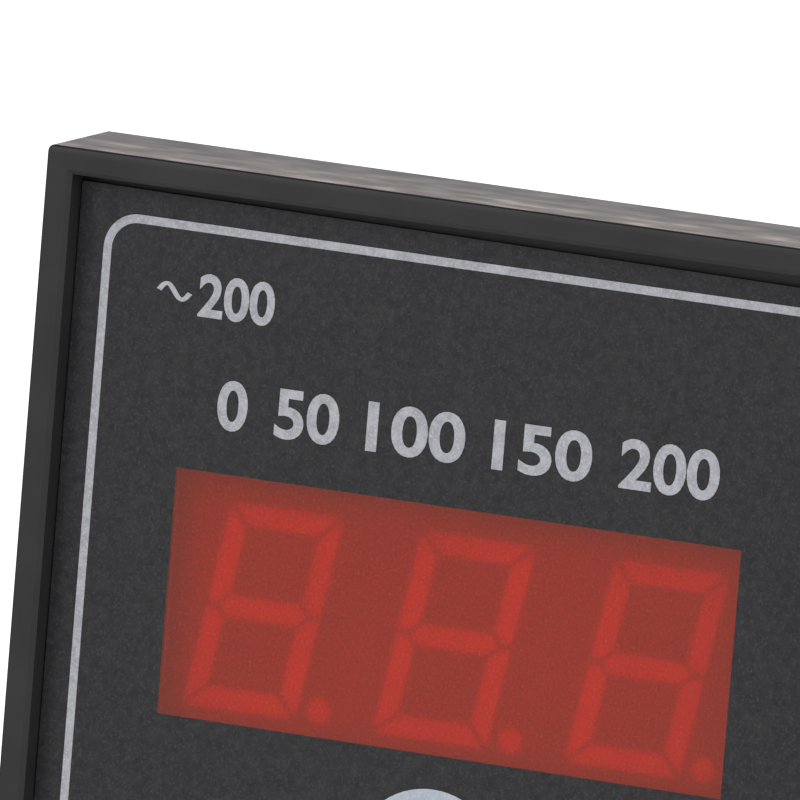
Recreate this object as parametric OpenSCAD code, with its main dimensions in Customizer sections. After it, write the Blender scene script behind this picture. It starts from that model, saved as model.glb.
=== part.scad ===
// Square digital panel meter: moulded front with a printed face and a red window, three-digit display,
// two round boards, round case, corner studs for the panel and two screw terminals.
// +X is to the right, +Y runs rearward through the panel and +Z is up. Y = 0 is the panel seat.

/* [Front] */
// Width and height of the square front
front_w = 45; // [44:0.5:56]
// Depth of the front, from its rim to the panel seat
front_depth = 6.5; // [6.2:0.1:8]
// Outward taper of the four sides, from the rim to the panel seat
side_taper = 0.085; // [0:0.005:0.2]
// Width of the raised rim, which is also the wall of the skirt
rim_w = 1.34; // [1.1:0.02:1.6]
// Depth of the face below the rim
face_recess = 1.3; // [0.8:0.05:1.6]
// Radius of the four outer corners
corner_r = 0.4; // [0.2:0.05:1.2]
// Chamfer of the rim's inner front edge
inner_chamfer = 0.22; // [0.05:0.01:0.5]

/* [Printed face] */
// Thickness of the face film
film_t = 0.4; // [0.25:0.05:0.5]
// Gap between the film and the rim at the sides and the foot
film_gap = 0.07; // [0.02:0.01:0.3]
// Gap above the film at its left end
film_top_gap_left = 0.39; // [0.05:0.01:0.8]
// Gap above the film at its right end
film_top_gap_right = 0.75; // [0.05:0.01:0.9]
// Distance from the rim's outer edge to the printed border line
border_inset = 2.805; // [2.4:0.005:4.5]
// Distance of the border's middle below the middle of the front
border_drop = 0.19; // [0:0.01:0.4]
// Width of the printed border line
border_line = 0.425; // [0.2:0.01:0.8]
// Outer corner radius of the printed border
border_r = 1.8; // [0.8:0.1:3]
// Thickness of the print
print_t = 0.03; // [0.02:0.01:0.06]
// Radius of the printed unit disc
disc_r = 4.1; // [2.5:0.1:4.6]
// Height of the disc's centre, below the middle of the front
disc_drop = 10.35; // [10:0.05:13]

/* [Window] */
// Width of the red window
window_w = 29.84; // [27:0.02:31]
// Height of the red window
window_h = 12.1; // [11.4:0.05:13.5]
// Height of the window's centre above the middle of the front
window_z = 1.45; // [0.6:0.05:2.2]
// Thickness of the ledge that the window's flange bears on
window_ledge = 0.4; // [0.3:0.05:0.6]
// Thickness of the window's flange
window_flange = 0.65; // [0.4:0.05:0.75]
// Width of the flange past the window's edge
window_lip = 0.8; // [0.4:0.05:1.2]
// Clearance around the window in its opening
window_clear = 0.1; // [0.05:0.01:0.2]

/* [Display] */
// Width of the display block
display_w = 30.2; // [29.6:0.1:30.8]
// Height of the display block
display_h = 14; // [13:0.1:14.4]
// Depth of the display block
display_t = 7; // [6:0.1:8]
// Distance of the display's centre below the window's centre
display_drop = 0.47; // [0:0.01:0.8]
// Gap between the window and the display
display_gap = 0.05; // [0.02:0.01:0.3]
// Distance from one digit to the next
digit_pitch = 10.16; // [9.2:0.02:10.4]
// Height of a digit
digit_h = 10.16; // [8:0.02:11]
// Width of a digit
digit_w = 6; // [5:0.05:6.4]
// Width of a segment
segment_w = 1.05; // [0.7:0.05:1.3]
// Gap between neighbouring segments
segment_gap = 0.16; // [0.08:0.01:0.3]
// Lean of the digits to the right, in degrees
digit_lean = 10; // [0:0.5:12]
// Radius of a decimal point
point_r = 0.6; // [0.4:0.05:0.75]
// Depth of the segments in the display block
segment_depth = 0.6; // [0.3:0.05:1.5]
// Distance between the two rows of display pins
pin_row_pitch = 10.16; // [8:0.02:11]
// Pins in each row
pins_per_row = 6; // [4:1:8]
// Width of a square display pin
pin_w = 0.5; // [0.4:0.02:0.6]

/* [Boards] */
// Thickness of both boards
board_t = 1.6; // [1:0.1:2]
// Space between the two boards
board_gap = 10.7; // [10.4:0.1:16]
// Clearance around the display board in the case
board_clear = 0.3; // [0.15:0.05:0.6]
// Distance of the power board's edge inside the display board's edge
power_board_inset = 1.4; // [1.2:0.05:1.8]
// Spacing of header, chip and display pins
pin_pitch = 2.54; // [2.4:0.01:2.6]
// Pins in the header that joins the boards
header_pin_count = 6; // [3:1:6]
// Height of the header below the middle of the boards
header_drop = 12.4; // [12:0.05:12.8]
// Width of a square header pin
header_pin_w = 0.64; // [0.5:0.02:0.7]
// Length of a lead's end past the board
lead_end = 0.8; // [0.4:0.1:1.2]
// Radius of a component lead
lead_r = 0.3; // [0.2:0.02:0.35]
// Clearance of a lead in its hole
lead_clear = 0.12; // [0.05:0.01:0.2]

/* [Case] */
// Diameter of the round case behind the panel
barrel_d = 38; // [37.6:0.1:39.6]
// Wall of the round case
barrel_wall = 1.6; // [1.2:0.05:1.8]
// Thickness of the back wall
back_wall = 1.8; // [1.2:0.1:3]
// Chamfer of the case's rear edge
back_chamfer = 0.8; // [0.2:0.1:1.1]
// Thickness of the square flange
flange_t = 2; // [1.6:0.1:2.3]
// Clearance of the flange in the skirt
flange_clear = 0.1; // [0.05:0.01:0.2]
// Height of the snap beads on the flange's edges
snap_h = 0.3; // [0.15:0.05:0.45]
// Length of a snap bead
snap_length = 12; // [6:0.5:20]
// Width of the four inner ribs
rib_w = 2.4; // [1.5:0.1:4]

/* [Panel studs] */
// Diameter of the corner studs
stud_d = 3; // [2.5:0.1:3.4]
// Length of the studs behind the panel seat
stud_len = 18; // [10:0.5:30]
// Distance of a stud's axis from the edges of the flange
stud_inset = 3.56; // [3.44:0.02:4]
// Size of the studs' hexagonal heads, across the flats
stud_head_af = 5.5; // [5:0.1:5.6]
// Thickness of the heads
stud_head_t = 1.8; // [1.4:0.1:2]
// Wall of the corner bosses round the heads
stud_boss_wall = 0.3; // [0.2:0.02:0.32]
// Thickness of the studs' shoulders in the flange, past their thread
stud_shoulder = 0.25; // [0.2:0.01:0.35]
// Clearance of the studs and heads in the bosses
stud_clear = 0.06; // [0.03:0.01:0.15]

/* [Terminals] */
// Diameter of the terminal studs
term_d = 4; // [3:0.1:4.4]
// Distance of each terminal from the middle
term_x = 9; // [8.6:0.1:9.6]
// Height of the terminals below the middle
term_drop = 3; // [2:0.1:4]
// Length of the terminal studs behind the back wall
term_len = 11; // [10.4:0.1:16]
// Size of nuts and heads, across the flats
term_af = 7; // [6:0.1:7.4]
// Thickness of the studs' inner heads
term_head_t = 2.8; // [2:0.1:4]
// Radius of the terminal bosses inside the case
term_boss_r = 4.25; // [3.6:0.05:4.6]
// Height of the terminal bosses
term_boss_h = 5; // [4.8:0.1:8]
// Radial clearance of a stud in its holes
term_clear = 0.1; // [0.05:0.01:0.2]
// Radial clearance of a stud in its nuts and washers
thread_clear = 0.03; // [0.02:0.01:0.08]
// Thickness of the lock nuts
lock_nut_t = 2.2; // [1.6:0.1:3]
// Thickness of the wire nuts
wire_nut_t = 2.8; // [2:0.1:3.4]
// Outer diameter of the flat washers
washer_d = 9; // [8:0.1:10]
// Thickness of the flat washers
washer_t = 0.8; // [0.5:0.05:1]
// Outer diameter of the spring washers
spring_d = 7; // [6:0.1:7.6]
// Thickness of the spring washers
spring_t = 1.1; // [0.7:0.05:1.2]
// Gap in a spring washer
spring_slit = 0.7; // [0.3:0.1:1.2]

/* [Calibration trimmer] */
// Height of the trimmer above the middle
trimmer_z = 10; // [9.6:0.05:10.6]
// Width and height of the trimmer's body
trimmer_w = 6.6; // [6:0.1:7]
// Depth of the trimmer's body
trimmer_t = 4.2; // [3.2:0.1:4.4]
// Radius of the rotor
rotor_r = 1.9; // [1.4:0.05:2.4]
// Radial running clearance of the rotor
rotor_clear = 0.05; // [0.02:0.01:0.08]
// Length of the rotor inside the body
rotor_seat = 2.35; // [1.5:0.05:2.6]
// Height of the rotor past the body
rotor_rise = 0.5; // [0.1:0.05:0.6]
// Width of the screwdriver slot
slot_w = 0.6; // [0.4:0.05:0.9]
// Depth of the screwdriver slot
slot_depth = 0.8; // [0.4:0.05:1.2]
// Radius of the adjuster hole in the back wall
adjuster_r = 1.6; // [1:0.05:2.4]

/* [Components] */
// Length, height and depth of the film capacitor
film_cap_w = 10.5; // [8:0.1:11]
// Height of the film capacitor
film_cap_h = 4.5; // [3.5:0.1:4.8]
// Depth of the film capacitor
film_cap_t = 8.5; // [6:0.1:9]
// Radius of the electrolytic capacitor
can_r = 3.15; // [2.5:0.05:3.3]
// Depth of the electrolytic capacitor
can_t = 8.6; // [6:0.1:9]
// Width of the bridge rectifier
bridge_w = 8.2; // [7:0.1:8.6]
// Height of the bridge rectifier
bridge_h = 6; // [5:0.1:6.2]
// Depth of the bridge rectifier
bridge_t = 3.2; // [2.4:0.1:3.6]
// Radius of the dropper resistor
resistor_r = 1.2; // [0.9:0.05:1.3]
// Length of the dropper resistor
resistor_len = 6.5; // [5:0.1:7]
// Radius of the zener diode
diode_r = 0.9; // [0.7:0.05:1]
// Length of the zener diode
diode_len = 4; // [3:0.1:4.6]
// Length of the controller chip
chip_len = 9.9; // [9.6:0.1:10.4]
// Height of the controller chip
chip_h = 3.9; // [3.5:0.1:4.2]
// Thickness of the controller chip
chip_t = 1.4; // [1:0.05:1.6]
// Spacing of the chip's leads
chip_pitch = 1.27; // [1.2:0.01:1.28]
// Length of a chip resistor
smd_len = 2; // [1.6:0.1:2.1]
// Width of a chip resistor
smd_w = 1.25; // [0.8:0.05:1.3]
// Thickness of a chip resistor
smd_t = 0.5; // [0.4:0.05:0.7]

/* [Hidden] */

$fn = 64;
eps = 0.5;                      // how far a cutting shape runs past the face it cuts

// Stack through the depth, front to rear
rim_y = -front_depth;
film_y = rim_y + face_recess;
wall_y = film_y + film_t;
ledge_rear_y = wall_y + window_ledge;
window_rear_y = ledge_rear_y + window_flange;
wall_rear_y = window_rear_y;
display_y = window_rear_y + display_gap;
display_rear_y = display_y + display_t;
display_board_rear_y = display_rear_y + board_t;
power_board_y = display_board_rear_y + board_gap;
power_board_rear_y = power_board_y + board_t;
back_inner_y = power_board_rear_y + term_boss_h;
back_y = back_inner_y + back_wall;

// Front
inner_w = front_w - 2 * rim_w;
flange_w = inner_w - 2 * flange_clear;
border_w = front_w - 2 * border_inset;
window_flange_w = window_w + 2 * window_lip;
window_flange_h = window_h + 2 * window_lip;
display_z = window_z - display_drop;

// Case and boards
barrel_r = barrel_d / 2;
bore_r = barrel_r - barrel_wall;
board_r = bore_r - board_clear;
power_board_r = board_r - power_board_inset;
rib_inner_r = power_board_r + board_clear;
stud_pos = flange_w / 2 - stud_inset;
stud_head_y = wall_rear_y + stud_clear;
stud_web_y = stud_head_y + stud_head_t;
stud_boss_r = stud_head_af / 2 / cos(30) + stud_clear + stud_boss_wall;
snap_r = 0.6;                   // radius of the round that forms a snap bead
flange_corner_r = 0.6;
trimmer_corner_r = 0.5;

// Terminal hardware, from the back wall outward
washer_y = back_y;
lock_nut_y = washer_y + washer_t;
wire_washer_y = lock_nut_y + lock_nut_t;
spring_y = wire_washer_y + washer_t;
wire_nut_y = spring_y + spring_t;
term_tip_y = back_y + term_len;
nut_chamfer = 0.35;
nut_chamfer_depth = 0.2;

// Component places on the boards: [x, z]
film_cap_at = [2.5, 4];
can_at = [-9.5, 6];
bridge_at = [0, -3];
resistor_at = [0, 8.9];
diode_at = [0, -8.4];
film_cap_lead_pitch = 7.5;
can_lead_pitch = 2.5;
bridge_lead_pitch = [5.1, 4.2];
resistor_lead_pitch = 10;
diode_lead_pitch = 7.6;
trimmer_lead_pitch = 5;
body_rise = 0.2;                // gap between an axial body and its board
chip_rise = 0.1;
chip_lead_w = 0.4;
chip_lead_t = 0.2;
chip_lead_reach = 1.05;
chip_leads_per_side = 8;
strip_w = 2.5;
dimple_r = 0.4;                 // the mark at the chip's first lead
dimple_inset = 1;
dimple_depth = 0.1;
film_cap_r = 0.8;
bridge_corner = 1.2;            // cut corner at the bridge's plus lead

// Chip resistors on the display board's rear: rows of [z, count]
smd_rows = [[10.6, 5], [-7.4, 5]];
smd_pitch = 2.6;

// ---------------------------------------------------------------- helpers

// A flat outline drawn in X and Z, as a slab from y0 to y1
module slab(y0, y1) {
    translate([0, y1, 0])
        rotate([90, 0, 0])
            linear_extrude(y1 - y0)
                children();
}

// A round bar along Y
module bar_y(at, r, y0, y1) {
    translate([at[0], y1, at[1]])
        rotate([90, 0, 0])
            cylinder(h = y1 - y0, r = r);
}

// A hexagonal bar along Y
module hex_y(at, af, y0, y1) {
    translate([at[0], y1, at[1]])
        rotate([90, 0, 0])
            cylinder(h = y1 - y0, r = af / 2 / cos(30), $fn = 6);
}

// A rectangle with round corners
module round_rect(w, h, r) {
    square([w - 2 * r, h], center = true);
    square([w, h - 2 * r], center = true);
    for (x = [-1, 1], z = [-1, 1])
        translate([x * (w / 2 - r), z * (h / 2 - r)])
            circle(r);
}

// Children at the four corners of a square pattern
module at_corners(d) {
    for (x = [-1, 1], z = [-1, 1])
        translate([x * d, 0, z * d])
            children();
}

// Children at both terminals
module at_terminals() {
    for (side = [-1, 1])
        translate([side * term_x, 0, -term_drop])
            children();
}

// A washer along Y
module ring_y(r_out, r_in, y0, y1) {
    difference() {
        bar_y([0, 0], r_out, y0, y1);
        bar_y([0, 0], r_in, y0 - eps, y1 + eps);
    }
}

// A hexagonal nut with its corners chamfered on both faces
module nut_y(af, r_in, y0, y1) {
    r_out = af / 2 / cos(30);
    h = y1 - y0;
    difference() {
        intersection() {
            hex_y([0, 0], af, y0, y1);
            translate([0, y0, 0])
                rotate([-90, 0, 0])
                    rotate_extrude()
                        polygon([[0, 0], [r_out - nut_chamfer, 0], [r_out, nut_chamfer_depth],
                                 [r_out, h - nut_chamfer_depth], [r_out - nut_chamfer, h], [0, h]]);
        }
        bar_y([0, 0], r_in, y0 - eps, y1 + eps);
    }
}

// ---------------------------------------------------------------- front

// A square block that widens towards the rear by the same amount on every side
module tapered_block(w_front, w_rear, r, y0, y1) {
    translate([0, y1, 0])
        rotate([90, 0, 0])
            linear_extrude(y1 - y0, scale = w_front / w_rear)
                round_rect(w_rear, w_rear, r, $fn = 32);
}

// Groove for one snap bead, in the inner face of the skirt
module snap_round(extra, len) {
    r = snap_r + extra;
    translate([-len / 2, -flange_t / 2, flange_w / 2 + snap_h - snap_r])
        rotate([0, 90, 0])
            cylinder(h = len, r = r);
}

module front_bezel() {
    color("#2b2b2d")
        difference() {
            tapered_block(front_w, front_w + 2 * side_taper, corner_r, rim_y, 0);
            slab(rim_y - eps, wall_y)
                square(inner_w, center = true);
            translate([0, rim_y + inner_chamfer, 0])
                rotate([90, 0, 0])
                    linear_extrude(inner_chamfer + eps, scale = 1 + 2 * (inner_chamfer + eps) / inner_w)
                        square(inner_w, center = true);
            slab(wall_rear_y, eps)
                square(inner_w, center = true);
            slab(wall_y - eps, ledge_rear_y + eps)
                translate([0, window_z])
                    square([window_w + 2 * window_clear, window_h + 2 * window_clear], center = true);
            slab(ledge_rear_y, wall_rear_y + eps)
                translate([0, window_z])
                    square([window_flange_w + 2 * window_clear, window_flange_h + 2 * window_clear],
                           center = true);
            for (a = [0:90:270])
                rotate([0, a, 0])
                    snap_round(flange_clear, snap_length + 2 * flange_clear);
        }
}

module face_film() {
    half = inner_w / 2 - film_gap;
    top = inner_w / 2;
    color("#39393b")
        slab(film_y, wall_y)
            difference() {
                polygon([[-half, -half], [half, -half],
                         [half, top - film_top_gap_right], [-half, top - film_top_gap_left]]);
                translate([0, window_z])
                    square([window_w, window_h], center = true);
            }
}

module print_border() {
    color("#a5a7ac")
        slab(film_y - print_t, film_y)
            translate([0, -border_drop])
                difference() {
                    round_rect(border_w, border_w, border_r);
                    round_rect(border_w - 2 * border_line, border_w - 2 * border_line,
                               border_r - border_line);
                }
}

module print_disc() {
    color("#b2bdc8")
        bar_y([0, -disc_drop], disc_r, film_y - print_t, film_y);
}

module red_window() {
    color("#8c3a30", 0.8)
        translate([0, 0, window_z]) {
            slab(film_y, ledge_rear_y)
                square([window_w, window_h], center = true);
            slab(ledge_rear_y, window_rear_y)
                square([window_flange_w, window_flange_h], center = true);
        }
}

// ---------------------------------------------------------------- display

function lean(p) = [p[0] + p[1] * tan(digit_lean), p[1]];

// Outline of the top segment; the bottom one is its mirror image
function end_segment(side) =
    let (x = digit_w / 2, z = digit_h / 2, g = segment_gap, w = segment_w)
        [for (p = [[-x + g, z], [x - g, z], [x - w - g, z - w], [-x + w + g, z - w]])
            lean([p[0], side * p[1]])];

// Outline of an upright segment; side and level are -1 or 1
function upright_segment(side, level) =
    let (x = digit_w / 2, z = digit_h / 2, g = segment_gap, w = segment_w)
        [for (p = [[x, z - g], [x, g], [x - w / 2, g], [x - w, w / 2 + g], [x - w, z - w - g]])
            lean([side * p[0], level * p[1]])];

// Outline of the middle segment
function middle_segment() =
    let (x = digit_w / 2 - segment_w / 2 - segment_gap, w = segment_w / 2)
        [for (p = [[-x, 0], [-x + w, w], [x - w, w], [x, 0], [x - w, -w], [-x + w, -w]]) lean(p)];

// The decimal point stands on the digits' foot line, right of the digit
point_x = digit_w / 2 + lean([0, -digit_h / 2])[0] + point_r + segment_gap * 4;
point_z = -digit_h / 2 + point_r;

module digit_outline() {
    for (side = [-1, 1])
        polygon(end_segment(side));
    for (side = [-1, 1], level = [-1, 1])
        polygon(upright_segment(side, level));
    polygon(middle_segment());
    translate([point_x, point_z])
        circle(point_r);
}

module all_digits() {
    for (i = [-1:1])
        translate([i * digit_pitch, display_z])
            digit_outline();
}

// Places of the display's pins: [x, z]
display_pin_at = [for (row = [-1, 1], i = [0:pins_per_row - 1])
                     [(i - (pins_per_row - 1) / 2) * pin_pitch, display_z + row * pin_row_pitch / 2]];

module display_block() {
    color("#3a3a3c")
        difference() {
            slab(display_y, display_rear_y)
                translate([0, display_z])
                    square([display_w, display_h], center = true);
            slab(display_y - eps, display_y + segment_depth)
                all_digits();
        }
}

module display_segments() {
    color("#d8d2c8")
        slab(display_y, display_y + segment_depth)
            all_digits();
}

module display_pins() {
    color("silver")
        for (at = display_pin_at)
            slab(display_rear_y, display_board_rear_y + lead_end)
                translate(at)
                    square(pin_w, center = true);
}

// ---------------------------------------------------------------- boards

header_at = [for (i = [0:header_pin_count - 1])
                [(i - (header_pin_count - 1) / 2) * pin_pitch, -header_drop]];

// A square pin's hole clears its corners
function square_hole_r(w) = w / sqrt(2) + lead_clear;

module display_board() {
    color("#1f5a3a")
        difference() {
            bar_y([0, 0], board_r, display_rear_y, display_board_rear_y);
            for (at = display_pin_at)
                bar_y(at, square_hole_r(pin_w), display_rear_y - eps, display_board_rear_y + eps);
            for (at = header_at)
                bar_y(at, square_hole_r(header_pin_w), display_rear_y - eps, display_board_rear_y + eps);
        }
}

module controller_chip() {
    y0 = display_board_rear_y + chip_rise;
    color("#1c1c1e")
        difference() {
            slab(y0, y0 + chip_t)
                translate([0, display_z])
                    square([chip_len, chip_h], center = true);
            bar_y([dimple_inset - chip_len / 2, display_z - chip_h / 2 + dimple_inset], dimple_r,
                  y0 + chip_t - dimple_depth, y0 + chip_t + eps);
        }
}

// One gull-wing lead, drawn in the plane of Z and Y and extruded along X
module chip_lead(side) {
    y_foot = display_board_rear_y;
    y_top = y_foot + chip_rise + chip_t / 2;
    z0 = chip_h / 2;
    z1 = z0 + chip_lead_reach / 3;
    z2 = z0 + chip_lead_reach;
    t = chip_lead_t;
    outline = [[z0, y_top], [z1, y_top], [z1, y_foot], [z2, y_foot], [z2, y_foot + t],
               [z1 + t, y_foot + t], [z1 + t, y_top + t], [z0, y_top + t]];
    translate([-chip_lead_w / 2, 0, 0])
        rotate([90, 0, 90])
            linear_extrude(chip_lead_w)
                polygon([for (p = outline) [p[1], side * p[0]]]);
}

module chip_leads() {
    color("silver")
        for (side = [-1, 1], i = [0:chip_leads_per_side - 1])
            translate([(i - (chip_leads_per_side - 1) / 2) * chip_pitch, 0, display_z])
                chip_lead(side);
}

module chip_resistors() {
    color("#26262a")
        for (row = smd_rows, i = [0:row[1] - 1])
            slab(display_board_rear_y, display_board_rear_y + smd_t)
                translate([(i - (row[1] - 1) / 2) * smd_pitch, row[0]])
                    square([smd_len, smd_w], center = true);
}

module header_pins() {
    color("#c8a850")
        for (at = header_at)
            slab(display_rear_y - lead_end, power_board_rear_y + lead_end)
                translate(at)
                    square(header_pin_w, center = true);
}

module header_strips() {
    strip_l = header_pin_count * pin_pitch;
    color("#202022")
        for (y = [display_board_rear_y, power_board_y - strip_w])
            slab(y, y + strip_w)
                difference() {
                    translate([0, -header_drop])
                        square([strip_l, strip_w], center = true);
                    for (at = header_at)
                        translate(at)
                            square(header_pin_w, center = true);
                }
}

// ---------------------------------------------------------------- power board and its parts

// Leads that pass through the power board from its front: [x, z]
front_lead_at = concat(
    [for (s = [-1, 1]) film_cap_at + [s * film_cap_lead_pitch / 2, 0]],
    [for (s = [-1, 1]) can_at + [s * can_lead_pitch / 2, 0]],
    [for (s = [-1, 1], t = [-1, 1]) bridge_at + [s * bridge_lead_pitch[0] / 2, t * bridge_lead_pitch[1] / 2]],
    [for (s = [-1, 1]) resistor_at + [s * resistor_lead_pitch / 2, 0]],
    [for (s = [-1, 1]) diode_at + [s * diode_lead_pitch / 2, 0]]);

// Leads of the trimmer, which end flush in the board
trimmer_lead_at = [for (s = [-1, 1]) [s * trimmer_lead_pitch / 2, trimmer_z - trimmer_lead_pitch / 2]];

module power_board() {
    y0 = power_board_y - eps;
    y1 = power_board_rear_y + eps;
    color("#1f5a3a")
        difference() {
            bar_y([0, 0], power_board_r, power_board_y, power_board_rear_y);
            for (at = front_lead_at)
                bar_y(at, lead_r + lead_clear, y0, y1);
            for (at = trimmer_lead_at)
                bar_y(at, lead_r + lead_clear, y0, y1);
            for (at = header_at)
                bar_y(at, square_hole_r(header_pin_w), y0, y1);
            at_terminals()
                bar_y([0, 0], term_d / 2 + term_clear, y0, y1);
        }
}

module film_capacitor() {
    color("#c8a02c")
        slab(power_board_y - film_cap_t, power_board_y)
            translate(film_cap_at)
                round_rect(film_cap_w, film_cap_h, film_cap_r);
}

module electrolytic_capacitor() {
    groove_r = 0.35;
    groove_rise = 1.5;
    rim = 0.5;
    h = can_t;
    color("#2c3a58")
        translate([can_at[0], power_board_y - h, can_at[1]])
            rotate([-90, 0, 0])
                rotate_extrude()
                    difference() {
                        polygon([[0, 0], [can_r - rim, 0], [can_r, rim], [can_r, h - rim],
                                 [can_r - rim / 2, h], [0, h]]);
                        translate([can_r, h - groove_rise])
                            circle(groove_r);
                    }
}

module bridge_rectifier() {
    color("#222224")
        slab(power_board_y - bridge_t, power_board_y)
            translate(bridge_at)
                difference() {
                    square([bridge_w, bridge_h], center = true);
                    translate([bridge_w, bridge_h] / 2)
                        rotate(45)
                            square(bridge_corner, center = true);
                }
}

// An axial body lying along X in front of the power board
module axial_body(at, r, len) {
    translate([at[0] - len / 2, power_board_y - body_rise - r, at[1]])
        rotate([0, 90, 0])
            cylinder(h = len, r = r);
}

module dropper_resistor() {
    color("#b9a27a")
        axial_body(resistor_at, resistor_r, resistor_len);
}

module zener_diode() {
    color("#a0402c")
        axial_body(diode_at, diode_r, diode_len);
}

// Both leads of an axial body: out of its ends, then back through the board
module axial_leads(at, r, len, spread) {
    y = power_board_y - body_rise - r;
    for (s = [-1, 1]) {
        translate([at[0] + s * len / 2, y, at[1]])
            rotate([0, s * 90, 0])
                cylinder(h = (spread - len) / 2, r = lead_r);
        translate([at[0] + s * spread / 2, y, at[1]])
            sphere(lead_r);
        bar_y([at[0] + s * spread / 2, at[1]], lead_r, y, power_board_rear_y + lead_end);
    }
}

module component_leads() {
    tail_y = power_board_rear_y + lead_end;
    color("silver") {
        for (s = [-1, 1])
            bar_y(film_cap_at + [s * film_cap_lead_pitch / 2, 0], lead_r, power_board_y, tail_y);
        for (s = [-1, 1])
            bar_y(can_at + [s * can_lead_pitch / 2, 0], lead_r, power_board_y, tail_y);
        for (s = [-1, 1], t = [-1, 1])
            bar_y(bridge_at + [s * bridge_lead_pitch[0] / 2, t * bridge_lead_pitch[1] / 2], lead_r,
                  power_board_y, tail_y);
        axial_leads(resistor_at, resistor_r, resistor_len, resistor_lead_pitch);
        axial_leads(diode_at, diode_r, diode_len, diode_lead_pitch);
        for (at = trimmer_lead_at)
            bar_y(at, lead_r, power_board_y, power_board_rear_y);
    }
}

// ---------------------------------------------------------------- calibration trimmer

trimmer_rear_y = power_board_rear_y + trimmer_t;
rotor_y = trimmer_rear_y - rotor_seat;

module trimmer_body() {
    color("#2a62a8")
        difference() {
            slab(power_board_rear_y, trimmer_rear_y)
                translate([0, trimmer_z])
                    round_rect(trimmer_w, trimmer_w, trimmer_corner_r);
            bar_y([0, trimmer_z], rotor_r + rotor_clear, rotor_y - rotor_clear, trimmer_rear_y + eps);
        }
}

module trimmer_rotor() {
    top_y = trimmer_rear_y + rotor_rise;
    color("ivory")
        difference() {
            bar_y([0, trimmer_z], rotor_r, rotor_y, top_y);
            slab(top_y - slot_depth, top_y + eps)
                translate([0, trimmer_z]) {
                    square([slot_w, 2 * rotor_r + eps], center = true);
                    square([2 * rotor_r + eps, slot_w], center = true);
                }
        }
}

// ---------------------------------------------------------------- case

// Half section of the round cup, turned about the case's axis: radius and depth
module barrel_section() {
    polygon([[bore_r, -flange_t], [barrel_r, -flange_t], [barrel_r, back_y - back_chamfer],
             [barrel_r - back_chamfer, back_y], [0, back_y], [0, back_inner_y], [bore_r, back_inner_y]]);
}

module rear_case() {
    color("#2e2e30")
        difference() {
            union() {
                rotate([-90, 0, 0])
                    rotate_extrude()
                        barrel_section();
                slab(-flange_t, 0)
                    difference() {
                        round_rect(flange_w, flange_w, flange_corner_r);
                        circle((barrel_r + bore_r) / 2);
                    }
                at_corners(stud_pos)
                    bar_y([0, 0], stud_boss_r, wall_rear_y, -flange_t);
                for (a = [0:90:270])
                    rotate([0, a, 0])
                        snap_round(0, snap_length);
                for (a = [45:90:315])
                    rotate([0, a, 0])
                        translate([rib_inner_r, display_board_rear_y, -rib_w / 2])
                            cube([bore_r - rib_inner_r + barrel_wall / 2,
                                  back_inner_y - display_board_rear_y + back_wall / 2, rib_w]);
                at_terminals()
                    bar_y([0, 0], term_boss_r, power_board_rear_y, back_inner_y + back_wall / 2);
            }
            at_corners(stud_pos) {
                hex_y([0, 0], stud_head_af + 2 * stud_clear, wall_rear_y - eps, stud_web_y);
                bar_y([0, 0], stud_d / 2 + stud_shoulder + stud_clear, stud_web_y - eps, eps);
            }
            at_terminals()
                bar_y([0, 0], term_d / 2 + term_clear, power_board_rear_y - eps, back_y + eps);
            bar_y([0, trimmer_z], adjuster_r, back_inner_y - eps, back_y + eps);
            slab(-flange_t - eps, display_rear_y + eps)
                translate([0, display_z])
                    square([display_w + board_clear, display_h + board_clear], center = true);
        }
}

// ---------------------------------------------------------------- fasteners

module panel_studs() {
    tip = 0.4;
    color("#b8b8bc")
        at_corners(stud_pos) {
            hex_y([0, 0], stud_head_af, stud_head_y, stud_web_y);
            bar_y([0, 0], stud_d / 2 + stud_shoulder, stud_web_y, 0);
            bar_y([0, 0], stud_d / 2, 0, stud_len - tip);
            translate([0, stud_len - tip, 0])
                rotate([-90, 0, 0])
                    cylinder(h = tip, r1 = stud_d / 2, r2 = stud_d / 2 - tip);
        }
}

module terminal_studs() {
    tip = 0.5;
    color("#c8a64a")
        at_terminals() {
            hex_y([0, 0], term_af, power_board_y - term_head_t, power_board_y);
            bar_y([0, 0], term_d / 2, power_board_y, term_tip_y - tip);
            translate([0, term_tip_y - tip, 0])
                rotate([-90, 0, 0])
                    cylinder(h = tip, r1 = term_d / 2, r2 = term_d / 2 - tip);
        }
}

module terminal_washers() {
    color("#c8a64a")
        at_terminals()
            ring_y(washer_d / 2, term_d / 2 + thread_clear, washer_y, lock_nut_y);
}

module lock_nuts() {
    color("#c8a64a")
        at_terminals()
            nut_y(term_af, term_d / 2 + thread_clear, lock_nut_y, wire_washer_y);
}

module wire_washers() {
    color("#c8a64a")
        at_terminals()
            ring_y(washer_d / 2, term_d / 2 + thread_clear, wire_washer_y, spring_y);
}

module spring_washers() {
    color("#b8b8bc")
        at_terminals()
            difference() {
                ring_y(spring_d / 2, term_d / 2 + thread_clear, spring_y, wire_nut_y);
                rotate([0, 40, 0])
                    translate([0, spring_y - eps, -spring_slit / 2])
                        cube([spring_d, spring_t + 2 * eps, spring_slit]);
            }
}

module wire_nuts() {
    color("#c8a64a")
        at_terminals()
            nut_y(term_af, term_d / 2 + thread_clear, wire_nut_y, wire_nut_y + wire_nut_t);
}

// ---------------------------------------------------------------- drawing

front_bezel();
face_film();
print_border();
print_disc();
red_window();
display_block();
display_segments();
display_pins();
display_board();
controller_chip();
chip_leads();
chip_resistors();
header_pins();
header_strips();
power_board();
film_capacitor();
electrolytic_capacitor();
bridge_rectifier();
dropper_resistor();
zener_diode();
component_leads();
trimmer_body();
trimmer_rotor();
rear_case();
panel_studs();
terminal_studs();
terminal_washers();
lock_nuts();
wire_washers();
spring_washers();
wire_nuts();
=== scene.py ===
import math

import bmesh
import bpy
from mathutils import Matrix, Vector


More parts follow.
